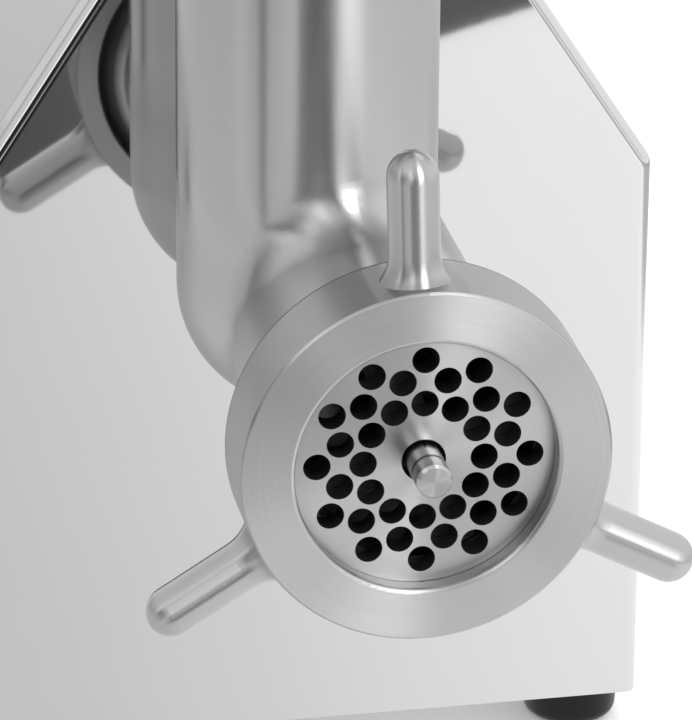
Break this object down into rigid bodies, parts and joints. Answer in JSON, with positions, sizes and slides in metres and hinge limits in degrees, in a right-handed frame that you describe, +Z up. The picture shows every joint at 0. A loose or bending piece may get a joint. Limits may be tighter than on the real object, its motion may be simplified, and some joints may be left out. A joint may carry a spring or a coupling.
{
  "type": "electric meat grinder",
  "caption": "Bench meat grinder: stainless housing with geared motor, cast head with worm, knife and perforated plate held by a three-handled clamp ring, feed tray on top.",
  "frame": {"origin": "on the worktop, under the middle of the whole part's bounding box", "axes": "+Z up, -Y out of the grinding head, +X to the right as seen from in front of the head"},
  "size_m": [0.24, 0.4776, 0.3703],
  "materials": {
    "panel_steel": "polished to a soft mirror",
    "casing_steel": "satin, fine brushing along the sheet",
    "base_steel": "mill finish sheet",
    "foot_rubber": "matt black moulded rubber",
    "screw_steel": "bright zinc plated",
    "gland_plastic": "black moulded nylon",
    "control_plastic": "black moulded bezel",
    "start_green": "green push button",
    "stop_red": "red push button",
    "reverse_black": "black push button",
    "switch_plastic": "dark moulded block",
    "gearbox_aluminium": "sand cast",
    "gear_steel": "hobbed and oiled",
    "bearing_steel": "ground",
    "seal_rubber": "nitrile",
    "motor_aluminium": "die cast, finned",
    "lamination_steel": "varnished laminations and windings",
    "fan_plastic": "moulded",
    "capacitor_plastic": "white moulded can",
    "head_steel": "cast, turned and brushed round the throat",
    "ring_steel": "turned face, polished handles",
    "plate_steel": "ground flat",
    "knife_steel": "ground cutting face",
    "worm_steel": "cast and polished",
    "washer_bronze": "plain bronze",
    "tray_steel": "drawn sheet, satin"
  },
  "bodies": {
    "base": {"front_panel": "panel_steel", "rear_panel": "panel_steel", "casing": "casing_steel", "base_plate": "base_steel", "foot_front_left": "foot_rubber", "foot_front_right": "foot_rubber", "foot_rear_left": "foot_rubber", "foot_rear_right": "foot_rubber", "foot_screws": "screw_steel", "panel_screws": "screw_steel", "head_screws": "screw_steel", "cover_screws": "screw_steel", "cable_gland": "gland_plastic", "gland_nut": "gland_plastic", "control_plate": "control_plastic", "switch_block": "switch_plastic", "gearbox_case": "gearbox_aluminium", "gearbox_cover": "gearbox_aluminium", "drive_bearing_front": "bearing_steel", "drive_bearing_rear": "bearing_steel", "shaft_seal": "seal_rubber", "layshaft_bearing_front": "bearing_steel", "layshaft_bearing_rear": "bearing_steel", "motor_shell": "motor_aluminium", "motor_front_bell": "motor_aluminium", "motor_rear_bell": "motor_aluminium", "motor_bearing_front": "bearing_steel", "motor_bearing_rear": "bearing_steel", "stator": "lamination_steel", "fan_cowl": "base_steel", "run_capacitor": "capacitor_plastic", "capacitor_strap": "base_steel", "head_body": "head_steel", "plate_key": "knife_steel", "thrust_washer": "washer_bronze"},
    "worm": {"worm": "worm_steel", "worm_pin": "worm_steel", "knife": "knife_steel", "drive_shaft": "gear_steel", "output_gear": "gear_steel"},
    "layshaft": {"layshaft": "gear_steel", "layshaft_gear": "gear_steel"},
    "rotor": {"motor_shaft": "gear_steel", "rotor": "lamination_steel", "cooling_fan": "fan_plastic"},
    "plate": {"perforated_plate": "plate_steel"},
    "ring": {"clamp_ring": "ring_steel"},
    "tray": {"feed_tray": "tray_steel"},
    "start": {"start_button": "start_green"},
    "stop": {"stop_button": "stop_red"},
    "reverse": {"reverse_button": "reverse_black"}
  },
  "joints": [
    {"name": "worm_turn", "type": "hinge", "parent": "base", "child": "worm", "pos_m": [0, -0.14315, 0.185], "axis": [0, -1, 0], "continuous": true},
    {"name": "layshaft_turn", "type": "hinge", "parent": "base", "child": "layshaft", "pos_m": [0, 0.02685, 0.125], "axis": [0, -1, 0], "continuous": true},
    {"name": "motor_turn", "type": "hinge", "parent": "base", "child": "rotor", "pos_m": [0, 0.10685, 0.185], "axis": [0, -1, 0], "continuous": true},
    {"name": "plate_slide", "type": "slide", "parent": "base", "child": "plate", "axis": [0, -1, 0], "range_m": [0, 0.006]},
    {"name": "ring_turn", "type": "hinge", "parent": "plate", "child": "ring", "pos_m": [0, -0.21515, 0.185], "axis": [0, -1, 0], "range_deg": [0, 720]},
    {"name": "tray_lift", "type": "slide", "parent": "base", "child": "tray", "axis": [0, 0, 1], "range_m": [0, 0.06]},
    {"name": "start_press", "type": "slide", "parent": "base", "child": "start", "axis": [1, 0, 0], "range_m": [0, 0.003], "stiffness_N_per_m": 400},
    {"name": "stop_press", "type": "slide", "parent": "base", "child": "stop", "axis": [1, 0, 0], "range_m": [0, 0.003], "stiffness_N_per_m": 400},
    {"name": "reverse_press", "type": "slide", "parent": "base", "child": "reverse", "axis": [1, 0, 0], "range_m": [0, 0.003], "stiffness_N_per_m": 400}
  ],
  "couplings": [
    {"joint": "layshaft_turn", "follows": "worm_turn", "ratio": -2.75},
    {"joint": "motor_turn", "follows": "worm_turn", "ratio": 9.4722},
    {"joint": "plate_slide", "follows": "ring_turn", "m_per_rad": 0.00047746}
  ]
}
